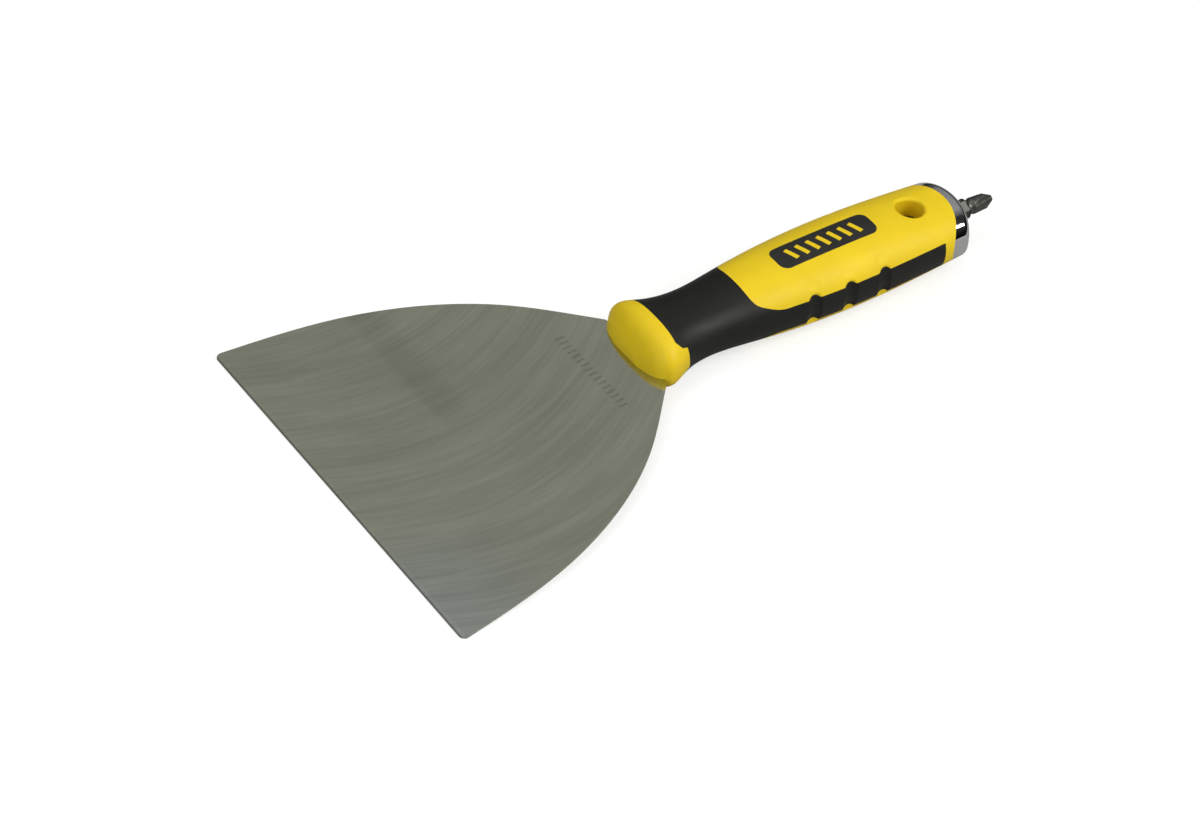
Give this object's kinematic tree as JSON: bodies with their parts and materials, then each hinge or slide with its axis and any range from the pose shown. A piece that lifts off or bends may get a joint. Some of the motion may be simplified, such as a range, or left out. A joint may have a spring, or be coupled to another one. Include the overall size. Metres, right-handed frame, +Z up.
{
  "type": "joint knife",
  "caption": "Wide stainless joint knife with a two-colour moulded handle, a plated striking cap and a screwdriver bit that pulls out of the cap.",
  "frame": {"origin": "bottom centre of the whole tool's bounding box as it lies put down on a level surface, on its cutting edge and on the underside of its handle; z = 0 is that surface", "axes": "+X along the tool from the blade's cutting edge towards the screwdriver bit, +Y across the blade, +Z up from the surface that the tool lies on"},
  "size_m": [0.263, 0.1502, 0.0257],
  "materials": {
    "blade_steel": "satin brushed stainless",
    "plain_steel": "plain mill finish",
    "socket_steel": "turned",
    "bit_steel": "sandblasted, grey",
    "magnet": "nickel plated",
    "yellow_plastic": "satin moulded",
    "badge_black": "satin",
    "black_rubber": "soft-touch satin",
    "chrome": "bright plated"
  },
  "bodies": {
    "knife": {"blade": "blade_steel", "tang": "plain_steel", "blade_rivets": "plain_steel", "handle_core": "yellow_plastic", "soft_grip": "black_rubber", "badge_plate": "badge_black", "badge_bars": "yellow_plastic", "end_cap": "chrome", "cap_pins": "plain_steel", "bit_socket": "socket_steel", "socket_magnet": "magnet", "socket_ring": "plain_steel"},
    "bit": {"screwdriver_bit": "bit_steel"}
  },
  "joints": [
    {"name": "bit_pull", "type": "slide", "parent": "knife", "child": "bit", "axis": [0.9999, 0, 0.0153], "range_m": [0, 0.03]}
  ]
}
